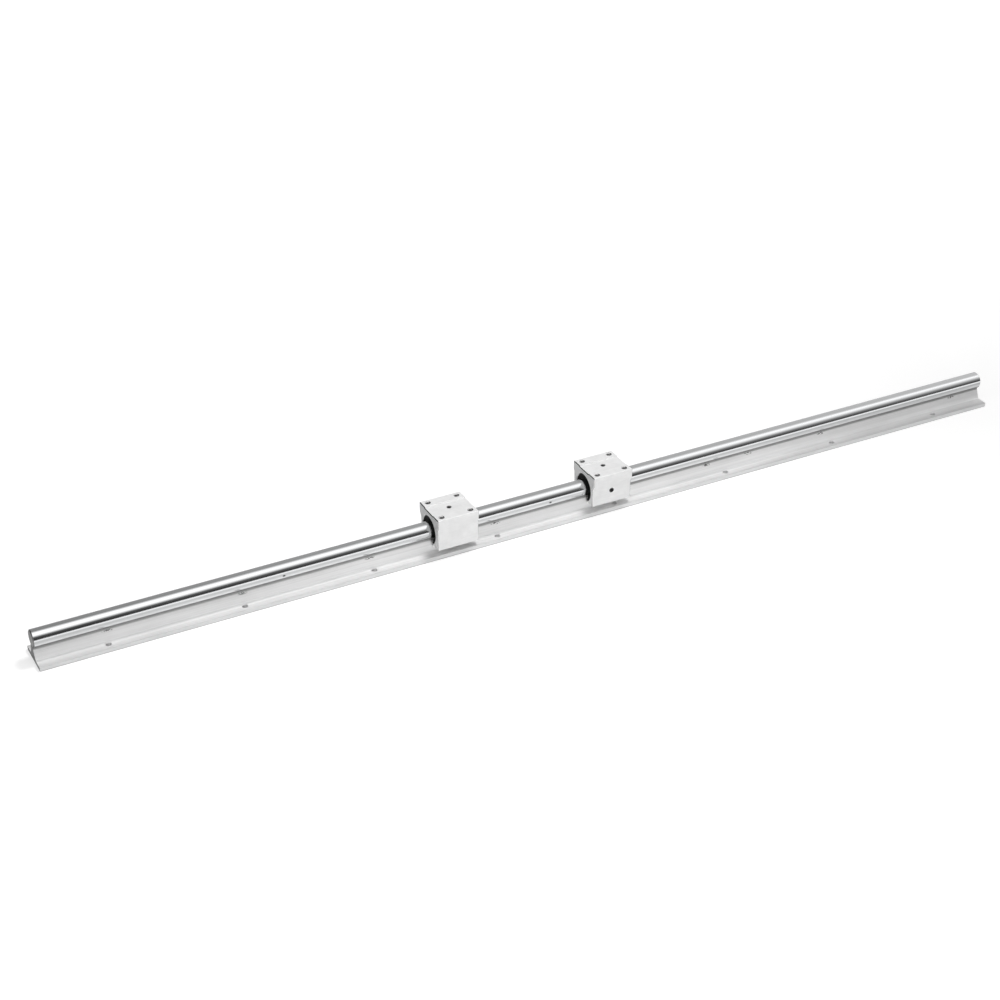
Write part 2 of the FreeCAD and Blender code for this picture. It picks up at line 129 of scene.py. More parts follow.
# The wiper rings: a flat rim, then a dish down to the lip on the shaft; open at the bottom.
WIPER_GAP = 30
WIPER_RIM = 14.3 * MM
WIPER_BEVEL = 0.2 * MM
WIPER_ROUND = 0.15 * MM
DISH_EDGE = 0.7 * MM
DISH_DEPTH = 2.6 * MM
DISH_RADIUS = 10.6 * MM
LIP_CLEARANCE = 0.05 * MM
LIP_LENGTH = 0.5 * MM
LIP_RELIEF = 0.4 * MM

# ---- values of the finishes ----

# Noise mostly lies inside WIDE, and a sum of several noises inside TIGHT.
WIDE = (0.3, 0.7)
TIGHT = (0.38, 0.62)
# A spot fades in from its edge, and is full inside this share of its squared reach.
SPOT_CORE = 0.2
# The Mix node's sockets for numbers and for colours: factor, first, second and result.
NUMBER_MIX = (0, 2, 3, 0)
COLOUR_MIX = (0, 6, 7, 2)

# Painted shade along the bar's underside, standing in for its dark reflection of the crevice below: where it
# starts, how far down it deepens and how strong it is.
CREVICE_SHADE_LINE = SHAFT_AXIS - 4.2 * MM
CREVICE_SHADE_FADE = 1.3 * MM
CREVICE_SHADE_STRENGTH = 0.85
# Small dark specks on the front of the bar's underside, in millimetres: x, then y and z, then sizes.
SPECKS = (-327, -5)
SPECK_PLACE = (-9.9, 25.6)
SPECK_SIZE = (2.0, 1.5)
# Scuffs on the front of the upper stem, likewise.
SCUFFS = (-522, -373, -226, -72, 205, 262, 366, 559)
SCUFF_PLACE = (-4.6, 15.2)
SCUFF_SIZE = (7.0, 2.2)
# Painted shade in the corner at the top of the stem under the bar, and a darker band along the outer part of
# each flange.
NECK_SHADE_FADE = (NECK_FOOT - 1.5 * MM, NECK_FOOT + 0.5 * MM)
NECK_SHADE_STRENGTH = 0.76
BAND_FADE = (13.5 * MM, 22 * MM)
BAND_STRENGTH = 0.42
# The support's outer edges carry painted shade where they meet the floor.
FOOT_SHADE_FADE = (1.2 * MM, 0.2 * MM)
FOOT_SHADE_STRENGTH = 0.6
SAW_RING = 0.25 * MM

# ---- values of the stage ----

FLOOR_REACH = 60
FLOOR_TONE = 0.44
FLOOR_GLOW = 0.65
# Seen straight, its glow grows to FLOOR_WHITE times as much over the distances FLOOR_FAR from the rail,
# and to FLOOR_RIGHT times as much towards the right end, which the lamps reach less.
FLOOR_FAR = (0.05, 1.0)
FLOOR_WHITE = 1.6
FLOOR_RIGHT = 1.08
# In mirrors the floor carries the rail's painted shadow beside it, glowing at these shares across:
# FLOOR_CLOSE up to FLOOR_NEAR's start,
# FLOOR_MIDDLE between the two zones, and fully from FLOOR_WIDE's end.
FLOOR_CLOSE = 0.45
FLOOR_MIDDLE = 0.22
FLOOR_NEAR = (0.028, 0.042)
FLOOR_WIDE = (0.060, 0.150)
# All of that is dimmed to FLOOR_MIRRORED, fades out across FLOOR_END, and is FLOOR_LIFT times as much
# beside the right end, painted light that brightens what mirrors it there.
FLOOR_MIRRORED = 0.843
FLOOR_END = (0.25, 1.2)
FLOOR_LIFT = 1.5

TENT_RADIUS = 6.0
TENT_ENDS = (-7.0, 11.0)
TENT_STEPS = 48
# How bright the tent is round the rail: degrees from overhead towards the front, then the level
# at each of three stations along it. All stay under TENT_STRENGTH, and are dimmed by TENT_DIM.
TENT_BANDS = [
    (-90, 0.05, 0.40, 0.80),
    (-60, 0.05, 0.36, 0.85),
    (-24, 0.10, 0.34, 0.80),
    (-11, 0.42, 1.08, 0.86),
    (-2, 0.98, 1.65, 1.22),
    (10, 1.20, 1.80, 1.70),
    (30, 1.00, 1.75, 1.20),
    (44, 0.50, 0.80, 0.70),
    (54, 0.08, 0.13, 0.45),
    (72, 0.03, 0.05, 0.15),
    (90, 0.04, 0.07, 0.08),
]
TENT_STATIONS = (-4.0, 0.24, 4.9)
TENT_STRENGTH = 2.0
TENT_DIM = 0.70

# The camera: place, then turn from +Y to the right, tilt down and roll in degrees, and lens in mm.
CAMERA_PLACE = (-0.9513, -1.7590, 1.2223)
CAMERA_HEADING = 26.780
CAMERA_DIP = 30.963
CAMERA_ROLL = 0.663
CAMERA_LENS = 74.253


# ---- mesh helpers ----

def rounded(corners):
    """A closed outline, each corner (y, z, radius) turned into an arc."""
    outline = []
    for before, corner, after in zip(corners[-1:] + corners[:-1], corners, corners[1:] + corners[:1]):
        spot = Vector(corner[:2])
        radius = corner[2]
        back = (Vector(before[:2]) - spot).normalized()
        forth = (Vector(after[:2]) - spot).normalized()
        half = back.angle(forth) / 2
        centre = spot + (back + forth).normalized() * (radius / math.sin(half))
        start = spot + back * (radius / math.tan(half)) - centre
        turn = start.angle_signed(spot + forth * (radius / math.tan(half)) - centre)
        for step in range(CORNER_STEPS + 1):
            arm = start.copy()
            arm.rotate(Matrix.Rotation(-turn * step / CORNER_STEPS, 2))
            outline.append(tuple(centre + arm))
    return outline


def extruded(outline, low, high):
    """A bar with a closed outline of (y, z) points, from x = low to x = high."""
    shape = bmesh.new()
    ends = [[shape.verts.new((x, y, z)) for y, z in outline] for x in (low, high)]
    shape.faces.new(ends[0])
    shape.faces.new(reversed(ends[1]))
    for number in range(len(outline)):
        following = (number + 1) % len(outline)
        shape.faces.new((ends[0][following], ends[0][number], ends[1][number], ends[1][following]))
    return shape


def turned_part(outline, start, end):
    """A closed outline of (x, radius) swept about X, in degrees from straight down; the ends are capped."""
    shape = bmesh.new()
    rows = []
    for step in range(ROUND_STEPS + 1):
        angle = math.radians(start + (end - start) * step / ROUND_STEPS)
        rows.append([shape.verts.new((x, radius * math.sin(angle), -radius * math.cos(angle)))
                     for x, radius in outline])
    for row, following in zip(rows, rows[1:]):
        for number in range(len(outline)):
            after = (number + 1) % len(outline)
            shape.faces.new((row[number], row[after], following[after], following[number]))
    shape.faces.new(rows[0])
    shape.faces.new(rows[-1])
    bmesh.ops.recalc_face_normals(shape, faces=shape.faces)
    return shape


def turned(profile, steps):
    """A solid turned about an axis along X; profile holds (x, radius) from one end to the other."""
    shape = bmesh.new()
    rings = []
    for x, radius in profile:
        angles = [2 * math.pi * step / steps for step in range(steps)]
        spots = [(x, radius * math.cos(angle), radius * math.sin(angle)) for angle in angles]
        rings.append([shape.verts.new(spot) for spot in (spots if radius else spots[:1])])
    for ring, following in zip(rings, rings[1:]):
        for step in range(steps):
            corners = [ring[step % len(ring)], ring[(step + 1) % steps % len(ring)],
                       following[(step + 1) % steps % len(following)], following[step % len(following)]]
            shape.faces.new(dict.fromkeys(corners))
    bmesh.ops.recalc_face_normals(shape, faces=shape.faces)
    return shape


def as_mesh(name, shape):
    """The finished mesh of a bmesh."""
    mesh = bpy.data.meshes.new(name)
    shape.to_mesh(mesh)
    shape.free()
    return mesh


def placed(name, data):
    """A new object in the scene."""
    made = bpy.data.objects.new(name, data)
    bpy.context.scene.collection.objects.link(made)
    return made


def piece(name, shape, body, stands_for, finishes):
    """A shown piece that rides on a body and stands for CAD nodes."""
    made = placed(name, as_mesh(name, shape))
    for finish in finishes:
        made.data.materials.append(materials[finish])
    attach(made, body)
    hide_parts(*stands_for)
    return made


def merge_flats(shape):
    """Join the flat faces of a bmesh that lie in one plane."""
    bmesh.ops.dissolve_limit(shape, angle_limit=math.radians(FLAT), verts=shape.verts, edges=shape.edges)


def cut(solid, shape):
    """Take a bmesh away from a solid object."""
    cutter = placed("cutter", as_mesh("cutter", shape))
    modifier = solid.modifiers.new("cut", "BOOLEAN")
    modifier.operation = "DIFFERENCE"
    modifier.solver = "EXACT"
    modifier.object = cutter
    bpy.context.view_layer.update()
    evaluated = solid.evaluated_get(bpy.context.evaluated_depsgraph_get())
    mesh = bpy.data.meshes.new_from_object(evaluated)
    solid.modifiers.clear()
    solid.data = mesh
    shape = bmesh.new()
    shape.from_mesh(mesh)
    merge_flats(shape)
    shape.to_mesh(mesh)
    shape.free()
    bpy.data.objects.remove(cutter)


def drill(shape, place, direction, profile):
    """Add a drill to a bmesh: a profile of (depth along the direction, radius) turned about it."""
    made = turned(profile, HOLE_STEPS)
    turn = Vector((1, 0, 0)).rotation_difference(Vector(direction)).to_matrix()
    bmesh.ops.rotate(made, verts=made.verts, matrix=turn)
    bmesh.ops.translate(made, verts=made.verts, vec=place)
    mesh = as_mesh("drill", made)
    shape.from_mesh(mesh)
    bpy.data.meshes.remove(mesh)


def faces_of(solid):
    """Each face of a solid, with the places of its corners."""
    mesh = solid.data
    return [(face, [mesh.vertices[number].co for number in face.vertices]) for face in mesh.polygons]


def smooth(solid):
    """Shade round stretches smoothly and keep the other edges crisp."""
    for face in solid.data.polygons:
        face.use_smooth = True
    solid.data.set_sharp_from_angle(angle=math.radians(CRISP))
    weighted = solid.modifiers.new("flat faces stay flat", "WEIGHTED_NORMAL")
    weighted.keep_sharp = True


# ---- node trees ----

class Tree:
    """Shorthand for building a node tree."""

    def __init__(self, owner):
        owner.use_nodes = True
        self.tree = owner.node_tree

    def add(self, kind, **settings):
        """A new node with some of its settings."""
        node = self.tree.nodes.new(kind)
        for name, setting in settings.items():
            setattr(node, name, setting)
        return node

    def fill(self, socket, source):
        """Link a socket to another, or set its value."""
        if isinstance(source, bpy.types.NodeSocket):
            self.tree.links.new(source, socket)
        else:
            socket.default_value = source

    def math(self, operation, first, second=0.0):
        """One step of arithmetic."""
        node = self.add("ShaderNodeMath", operation=operation)
        self.fill(node.inputs[0], first)
        self.fill(node.inputs[1], second)
        return node.outputs[0]

    def larger(self, first, second):
        """The larger of two numbers."""
        return self.math("MAXIMUM", first, second)

    def product(self, first, *others):
        """The product of numbers."""
        for other in others:
            first = self.math("MULTIPLY", first, other)
        return first

    def total(self, *shares):
        """The sum of numbers, each with its weight."""
        whole = None
        for source, weight in shares:
            part = self.product(source, weight)
            whole = part if whole is None else self.math("ADD", whole, part)
        return whole

    def axes(self, vector):
        """The x, y and z of a vector."""
        node = self.add("ShaderNodeSeparateXYZ")
        self.fill(node.inputs[0], vector)
        return node.outputs

    def span(self, source, low, high, out_low=0.0, out_high=1.0, interpolation="LINEAR"):
        """A value moved from one range to another, and held inside it."""
        node = self.add("ShaderNodeMapRange", interpolation_type=interpolation)
        for socket, value in zip(node.inputs, (source, low, high, out_low, out_high)):
            self.fill(socket, value)
        return node.outputs[0]

    def mixed(self, kind, sockets, *sources):
        """A Mix node of one kind, filled at that kind's sockets."""
        node = self.add("ShaderNodeMix", data_type=kind)
        for number, source in zip(sockets, sources):
            self.fill(node.inputs[number], source)
        return node.outputs[sockets[-1]]

    def mix(self, factor, first, second):
        """A mix of two numbers."""
        return self.mixed("FLOAT", NUMBER_MIX, factor, first, second)

    def blend(self, factor, first, second):
        """A mix of two colours."""
        return self.mixed("RGBA", COLOUR_MIX, factor, first, second)

    def curve(self, source, stops):
        """A number read from stops of (place from 0 to 1, level from 0 to 1)."""
        node = self.add("ShaderNodeValToRGB")
        self.fill(node.inputs[0], source)
        elements = node.color_ramp.elements
        while len(elements) < len(stops):
            elements.new(0.5)
        for element, (place, level) in zip(elements, stops):
            element.position = place
            element.color = grey(level)
        return node.outputs[0]


class Paint(Tree):
    """The node tree of one material, around its Principled shader."""

    def __init__(self, name, **settings):
        self.material = bpy.data.materials.new(name)
        super().__init__(self.material)
        self.shader = self.tree.nodes["Principled BSDF"]
        for socket, setting in settings.items():
            self.shader.inputs[socket.replace("_", " ")].default_value = setting
        self.place = self.add("ShaderNodeTexCoord").outputs["Object"]

    def noise(self, size, detail, stretch=(1, 1, 1)):
        """Noise from 0 to 1 with spots of a given size in metres, drawn out along the axes."""
        spread = self.add("ShaderNodeVectorMath", operation="MULTIPLY")
        self.fill(spread.inputs[0], self.place)
        spread.inputs[1].default_value = [1 / (size * share) for share in stretch]
        node = self.add("ShaderNodeTexNoise")
        self.fill(node.inputs["Vector"], spread.outputs[0])
        node.inputs["Scale"].default_value = 1.0
        node.inputs["Detail"].default_value = detail
        return node.outputs["Fac"]

    def spots(self, marks, place, size):
        """1 inside soft spots and 0 elsewhere; each one's x, their (y, z) and (length, width) in mm."""
        x, y, z = self.axes(self.place)
        spread = None
        for mark in marks:
            away = None
            for axis, middle, reach in zip((x, y, z), (mark, *place), (*size, size[1])):
                step = self.math("DIVIDE", self.math("SUBTRACT", axis, middle * MM), reach * MM)
                square = self.product(step, step)
                away = square if away is None else self.math("ADD", away, square)
            spread = away if spread is None else self.math("MINIMUM", spread, away)
        return self.span(spread, 1.0, SPOT_CORE)

    def around(self, source, middle, spread):
        """A value spread about a middle one by noise."""
        return self.span(source, *WIDE, middle - spread, middle + spread)

    def relief(self, height, depth, strength=1.0):
        """Bump from a height of 0 to 1 that stands for a depth in metres."""
        node = self.add("ShaderNodeBump")
        node.inputs["Strength"].default_value = strength
        node.inputs["Distance"].default_value = depth
        self.fill(node.inputs["Height"], height)
        self.fill(self.shader.inputs["Normal"], node.outputs[0])

    def coat(self, color, roughness):
        """Link the shader's painted sockets."""
        self.fill(self.shader.inputs["Base Color"], color)
        self.fill(self.shader.inputs["Roughness"], roughness)


def grey(level, warmth=0.0):
    """A near-neutral colour; warmth moves it slightly from blue to yellow."""
    return (level * (1 + warmth), level, level * (1 - warmth), 1.0)


# ---- materials ----

def chrome():
    """Ground and hard-chromed bar: a soft mirror with fine marks, faint smears, and painted shade along its
    underside for its dark reflection of the crevice below.
    """
    paint = Paint("hard_chrome", Metallic=1.0)
    smear = paint.noise(size=14 * MM, detail=3, stretch=(3, 1, 1))
    marks = paint.noise(size=0.35 * MM, detail=2, stretch=(0.4, 3, 3))
    _, _, z = paint.axes(paint.place)
    # Painted shade on the bar's underside, its dark reflection of the shaded crevice below; the specks
    # beside it are real marks.
    crevice_shade = paint.span(z, CREVICE_SHADE_LINE, CREVICE_SHADE_LINE - CREVICE_SHADE_FADE, 0, CREVICE_SHADE_STRENGTH, "SMOOTHSTEP")
    specks_and_shade = paint.larger(crevice_shade, paint.spots(SPECKS, SPECK_PLACE, SPECK_SIZE))
    bright = paint.blend(smear, grey(0.82, warmth=-0.01), grey(0.91, warmth=-0.01))
    smeared = paint.span(smear, *WIDE, 0.07, 0.12)
    marked = paint.span(marks, 0, 1, 0, 0.03)
    paint.coat(color=paint.blend(specks_and_shade, bright, grey(0.06)), roughness=paint.math("ADD", smeared, marked))
    paint.relief(marks, depth=0.002 * MM)
    return paint.material


def shaded_cut_steel():
    """Bare steel where the bar was sawn and faced, darkened as painted shade of the bar's ends."""
    paint = Paint("shaded_cut_steel", Metallic=1.0)
    _, y, z = paint.axes(paint.place)
    up = paint.math("SUBTRACT", z, SHAFT_AXIS)
    radius = paint.math("SQRT", paint.math("ADD", paint.math("POWER", y, 2.0), paint.math("POWER", up, 2.0)))
    rings = paint.math("SINE", paint.product(radius, 2 * math.pi / SAW_RING))
    stain = paint.noise(size=3 * MM, detail=3)
    # The dark grey is partly painted shade of the bar's ends.
    paint.coat(color=paint.blend(stain, grey(0.24), grey(0.38)),
               roughness=paint.span(stain, *WIDE, 0.3, 0.45))
    paint.relief(rings, depth=0.004 * MM)
    return paint.material


def drawn_aluminium():
    """Extruded aluminium: lengthwise die lines, patches of darker and rougher metal, a darker outer band,
    and painted shade at the top of the stem under the bar.
    """
    paint = Paint("support_aluminium", Metallic=0.3)
    lines = paint.noise(size=0.9 * MM, detail=3, stretch=(160, 1, 1))
    broad = paint.noise(size=3.0 * MM, detail=2, stretch=(240, 1, 1))
    patches = paint.noise(size=22 * MM, detail=3, stretch=(4, 1, 1))
    grain = paint.noise(size=0.25 * MM, detail=2)
    dirt = paint.noise(size=1.1 * MM, detail=3, stretch=(2, 1, 1))
    tone = paint.total((lines, 0.3), (broad, 0.3), (patches, 0.4))
    bare = paint.blend(paint.span(tone, *TIGHT), grey(0.81), grey(0.99))
    _, y, z = paint.axes(paint.place)
    band = paint.span(paint.math("ABSOLUTE", y), *BAND_FADE, 0, BAND_STRENGTH)
    # Painted shade at the top of the stem, where the bar overhangs it; the scuffs are real marks.
    corner = paint.span(z, *NECK_SHADE_FADE, 0, NECK_SHADE_STRENGTH, "SMOOTHSTEP")
    scuffs = paint.product(paint.spots(SCUFFS, SCUFF_PLACE, SCUFF_SIZE), paint.span(dirt, 0.46, 0.54))
    banded = paint.blend(band, bare, grey(0.45))
    paint.coat(color=paint.blend(paint.larger(corner, scuffs), banded, grey(0.14)),
               roughness=paint.span(tone, *WIDE, 0.52, 0.40))
    paint.relief(paint.total((lines, 1), (grain, 0.3)), depth=0.02 * MM, strength=0.5)
    return paint.material


def bright_edge():
    """The support's smooth outer edges, with painted shade along the floor."""
    paint = Paint("edge_aluminium", Metallic=0.85)
    lines = paint.noise(size=0.6 * MM, detail=3, stretch=(160, 1, 1))
    dents = paint.noise(size=6 * MM, detail=3, stretch=(3, 1, 1))
    tone = paint.total((lines, 0.6), (dents, 0.4))
    _, _, z = paint.axes(paint.place)
    # Painted shade where the edges meet the floor.
    foot = paint.span(z, *FOOT_SHADE_FADE, 0, FOOT_SHADE_STRENGTH)
    bare = paint.blend(paint.span(tone, *WIDE), grey(0.84), grey(0.96))
    paint.coat(color=paint.blend(foot, bare, grey(0.25)), roughness=paint.span(tone, *WIDE, 0.42, 0.30))
    paint.relief(lines, depth=0.01 * MM, strength=0.5)
    return paint.material


def block_aluminium():
    """Blasted aluminium, faintly lined lengthwise, with a few rubbed patches."""
    paint = Paint("block_aluminium", Metallic=0.4)
    grain = paint.noise(size=0.18 * MM, detail=3)
    cloud = paint.noise(size=9 * MM, detail=2)
    lines = paint.noise(size=0.5 * MM, detail=2, stretch=(90, 1, 1))
    rubs = paint.noise(size=3 * MM, detail=4, stretch=(2, 1, 1))
    tone = paint.total((grain, 0.25), (cloud, 0.35), (lines, 0.25), (rubs, 0.15))
    blasted = paint.span(grain, *WIDE, 0.40, 0.50)
    rubbed = paint.span(rubs, 0.55, 0.75, 0, 0.08)
    paint.coat(color=paint.blend(paint.span(tone, *TIGHT), grey(0.82), grey(0.92)),
               roughness=paint.math("SUBTRACT", blasted, rubbed))
    paint.relief(grain, depth=0.01 * MM, strength=0.6)
    return paint.material


def sawn_aluminium(name, low, high):
    """A sawn end with upright saw lines, between two levels of grey."""
    paint = Paint(name, Metallic=0.15)
    lines = paint.noise(size=0.45 * MM, detail=2, stretch=(1, 1, 40))
    cloud = paint.noise(size=7 * MM, detail=3)
    tone = paint.total((lines, 0.6), (cloud, 0.4))
    paint.coat(color=paint.blend(paint.span(tone, *WIDE), grey(low), grey(high)),
               roughness=paint.span(tone, *WIDE, 0.50, 0.42))
    paint.relief(lines, depth=0.02 * MM, strength=0.6)
    return paint.material


def machined_aluminium(name, low, high, gloss):
    """A bright cut between two levels of grey: chamfers, or the walls of drilled and tapped holes."""
    paint = Paint(name, Metallic=1.0)
    marks = paint.noise(size=0.3 * MM, detail=3)
    paint.coat(color=paint.blend(marks, grey(low), grey(high)),
               roughness=paint.around(marks, gloss, spread=0.05))
    paint.relief(marks, depth=0.004 * MM, strength=0.5)
    return paint.material


def moulded(name, level, gloss, shine):
    """Moulded black rubber or plastic with a fine skin."""
    paint = Paint(name, Specular_IOR_Level=shine)
    skin = paint.noise(size=0.4 * MM, detail=3)
    paint.coat(color=paint.blend(skin, grey(level * 0.8), grey(level * 1.3)),
               roughness=paint.around(skin, gloss, spread=0.06))
    paint.relief(skin, depth=0.01 * MM, strength=0.5)
    return paint.material


def steel(name, level, gloss):
    """Ground or blackened steel."""
    paint = Paint(name, Metallic=1.0)
    stain = paint.noise(size=1.5 * MM, detail=3)
    paint.coat(color=paint.blend(stain, grey(level * 0.85), grey(level * 1.15)),
               roughness=paint.around(stain, gloss, spread=0.06))
    paint.relief(paint.noise(size=0.2 * MM, detail=2), depth=0.003 * MM, strength=0.5)
    return paint.material


def slot_name(material):
    """A material's name without the number that Blender adds to a name already in use."""
    return material.name.split(".")[0]


finished = [
    chrome(),
    drawn_aluminium(),
    block_aluminium(),
    steel("bearing_steel", level=0.55, gloss=0.22),
    moulded("cage_plastic", level=0.03, gloss=0.45, shine=0.5),
    moulded("seal_rubber", level=0.010, gloss=0.65, shine=0.15),
    steel("black_steel", level=0.08, gloss=0.4),
    shaded_cut_steel(),
    bright_edge(),
    # The rail's sawn ends are much darker than the blocks': painted shade, as they face away from the light.
    sawn_aluminium("shaded_rail_end", low=0.30, high=0.46),
    sawn_aluminium("sawn_aluminium", low=0.90, high=0.98),
    machined_aluminium("machined_aluminium", low=0.62, high=0.74, gloss=0.22),
    machined_aluminium("drilled_aluminium", low=0.68, high=0.84, gloss=0.35),
    # Tapped walls are darkened, and the set screw ways nearly black, as painted shade inside the holes.
    machined_aluminium("shaded_tapped_aluminium", low=0.46, high=0.62, gloss=0.35),
    machined_aluminium("shaded_screw_way", low=0.03, high=0.06, gloss=0.5),
]
materials = {slot_name(material): material for material in finished}

SHAFT_FINISHES = ["hard_chrome", "shaded_cut_steel"]
SUPPORT_FINISHES = ["support_aluminium", "edge_aluminium", "drilled_aluminium", "shaded_rail_end"]
BLOCK_FINISHES = ["block_aluminium", "sawn_aluminium", "machined_aluminium", "shaded_tapped_aluminium",
                  "shaded_screw_way"]


def finish_nodes():
    """Give the CAD's own meshes their materials, by the names of their slots."""
    for node in frame["nodes"].values():
        slot = node.material_slots[0]
        slot.material = materials[slot_name(slot.material)]


# ---- the rail ----

def make_shaft():
    """The round bar, with its chamfered and faced ends."""
    profile = [(-HALF_LENGTH, 0), (-HALF_LENGTH, SHAFT_RADIUS - SHAFT_CHAMFER),
               (-HALF_LENGTH + SHAFT_CHAMFER, SHAFT_RADIUS)]
    profile += [(-x, radius) for x, radius in reversed(profile)]
    shape = turned(profile, ROUND_STEPS)
    bmesh.ops.translate(shape, verts=shape.verts, vec=(0, 0, SHAFT_AXIS))
    shaft = piece("shaft", shape, "rail", ["guide_shaft"], SHAFT_FINISHES)
    for face in shaft.data.polygons:
        finish = "shaded_cut_steel" if abs(face.normal.x) > LEANS_TO_END else "hard_chrome"
        face.material_index = SHAFT_FINISHES.index(finish)
    smooth(shaft)


def support_outline():
    """The support's section: flanges, tapering stem and round cradle."""
    right = [(HALF_BASE, 0, BASE_ROUND), (HALF_BASE, FLANGE_TOP, FLANGE_ROUND),
             (HALF_FOOT, FLANGE_TOP, FOOT_FILLET), (HALF_NECK, NECK_FOOT, NECK_ROUND),
             (HALF_NECK, SUPPORT_TOP, TOP_ROUND)]
    left = [(-y, z, radius) for y, z, radius in reversed(right)]
    outline = rounded(right + left)
    contact = math.acos((SHAFT_AXIS - SUPPORT_TOP) / SHAFT_RADIUS)
    cradle = []
    for step in range(CRADLE_STEPS + 1):
        angle = contact * (1 - 2 * step / CRADLE_STEPS)
        cradle.append((SHAFT_RADIUS * math.sin(angle), SHAFT_AXIS - SHAFT_RADIUS * math.cos(angle)))
    middle = len(outline) // 2
    return outline[:middle] + cradle + outline[middle:]


def support_finish(face, corners):
    """The finish of one face of the support."""
    column = min(columns, key=lambda x: abs(x - corners[0].x))
    if all(abs(corner.x - column) < COUNTERBORE_RADIUS + NEAR_EDGE for corner in corners):
        return "drilled_aluminium"
    # The support's ends get the darker sawn finish, which is painted shade.
    if abs(face.normal.x) > FACES_END:
        return "shaded_rail_end"
    if all(abs(corner.y) > HALF_BASE - NEAR_EDGE for corner in corners):
        return "edge_aluminium"
    return "support_aluminium"


def make_support():
    """The extruded support with its flange holes and screw ways."""
    support = piece("support", extruded(support_outline(), -HALF_LENGTH, HALF_LENGTH), "rail",
                    ["support_rail"], SUPPORT_FINISHES)
    drills = bmesh.new()
    through = [(-CLEAR, 0), (-CLEAR, FLANGE_HOLE_RADIUS), (FLANGE_TOP - FLANGE_RIM, FLANGE_HOLE_RADIUS),
               (FLANGE_TOP + CLEAR, FLANGE_HOLE_RADIUS + FLANGE_RIM + CLEAR), (FLANGE_TOP + CLEAR, 0)]
    seat = [(-CLEAR, 0), (-CLEAR, COUNTERBORE_RADIUS), (COUNTERBORE_DEPTH, COUNTERBORE_RADIUS),
            (COUNTERBORE_DEPTH, SCREW_WAY_RADIUS), (SUPPORT_TOP + CLEAR, SCREW_WAY_RADIUS),
            (SUPPORT_TOP + CLEAR, 0)]
    for x in columns:
        for y in (FLANGE_HOLE_Y, -FLANGE_HOLE_Y):
            drill(drills, (x, y, 0), (0, 0, 1), through)
        drill(drills, (x, 0, 0), (0, 0, 1), seat)
    cut(support, drills)
    for face, corners in faces_of(support):
        face.material_index = SUPPORT_FINISHES.index(support_finish(face, corners))
    smooth(support)


# ---- the carriages ----

def threaded(bottom, top, rim):
    """The profile of a tapped hole's cutter, upwards from its bottom to its chamfered rim."""
    profile = [(bottom, 0), (bottom, THREAD_MINOR)]
    turn = bottom
    while turn + THREAD_PITCH < top - rim:
        profile += [(turn + GROOVE_START * THREAD_PITCH, THREAD_MINOR),
                    (turn + GROOVE_DEEP * THREAD_PITCH, THREAD_MAJOR),
                    (turn + GROOVE_RISE * THREAD_PITCH, THREAD_MAJOR),
                    (turn + THREAD_PITCH, THREAD_MINOR)]
        turn += THREAD_PITCH
    profile += [(top - rim, THREAD_MINOR), (top + THREAD_CLEAR, THREAD_MINOR + rim + THREAD_CLEAR),
                (top + THREAD_CLEAR, 0)]
    return profile


def inside(corners, place, direction):
    """Whether a face's corners all lie in or just around the hole at a place, along a direction."""
    return all((corner - Vector(place)).cross(Vector(direction)).length < HOLE_REACH for corner in corners)


def block_holes(side, top):
    """A block's tapped holes: place, direction, cutter's profile and the finish of the walls."""
    lock_low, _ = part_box(side + "_lock_screw")
    side_low, side_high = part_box(side + "_preload_screw")
    pattern = mounts[side + "_carriage_holes"]
    middle = pattern["pos_m"][0]
    half_x = pattern["dims"]["spacing_x_mm"] * MM / 2
    half_y = pattern["dims"]["spacing_y_mm"] * MM / 2
    upward = (0, 0, 1)
    outward = (0, 1 if side_high.y > 0 else -1, 0)
    screw_foot = min(abs(side_low.y), abs(side_high.y))
    mount = threaded(top - MOUNT_THREAD_DEPTH, top, MOUNT_RIM)
    lock = threaded(lock_low.z + SET_SCREW_SEAT, LOCK_FACE, SET_SCREW_RIM)
    preload = threaded(screw_foot + SET_SCREW_SEAT, PRELOAD_FACE, SET_SCREW_RIM)
    # The tapped walls' darker finish and the screw way's near black are painted shade inside the holes.
    holes = [((middle + x, y, 0), upward, mount, "shaded_tapped_aluminium")
             for x in (half_x, -half_x) for y in (half_y, -half_y)]
    holes.append(((middle, 0, 0), upward, lock, "shaded_tapped_aluminium"))
    holes.append(((middle, 0, SHAFT_AXIS), outward, preload, "shaded_screw_way"))
    return holes


def block_finish(face, corners, holes, top):
    """The finish of one face of a block."""
    walls = [wall for place, direction, _, wall in holes if inside(corners, place, direction)]
    near_top = min(abs(corner.z - top) for corner in corners) < RIM_REACH
    if walls and near_top and RIM_SLOPE[0] < face.normal.z < RIM_SLOPE[1]:
        return "machined_aluminium"
    if walls:
        return walls[0]
    if abs(face.normal.x) > FACES_END:
        return "sawn_aluminium"
    if abs(face.normal.x) > LEANS_TO_END:
        return "machined_aluminium"
    return "block_aluminium"


def make_block(side):
    """A carriage's housing with its tapped holes and its machined edges."""
    name = side + "_housing"
    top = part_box(name)[1].z
    shape = bmesh.new()
    shape.from_mesh(frame["nodes"][name].data)
    bmesh.ops.remove_doubles(shape, verts=shape.verts, dist=WELD)
    merge_flats(shape)
    block = piece(side + "_block", shape, side + "_carriage", [name], BLOCK_FINISHES)
    holes = block_holes(side, top)
    drills = bmesh.new()
    for place, direction, profile, _ in holes:
        drill(drills, place, direction, profile)
    cut(block, drills)
    for face, corners in faces_of(block):
        face.material_index = BLOCK_FINISHES.index(block_finish(face, corners, holes, top))
    smooth(block)


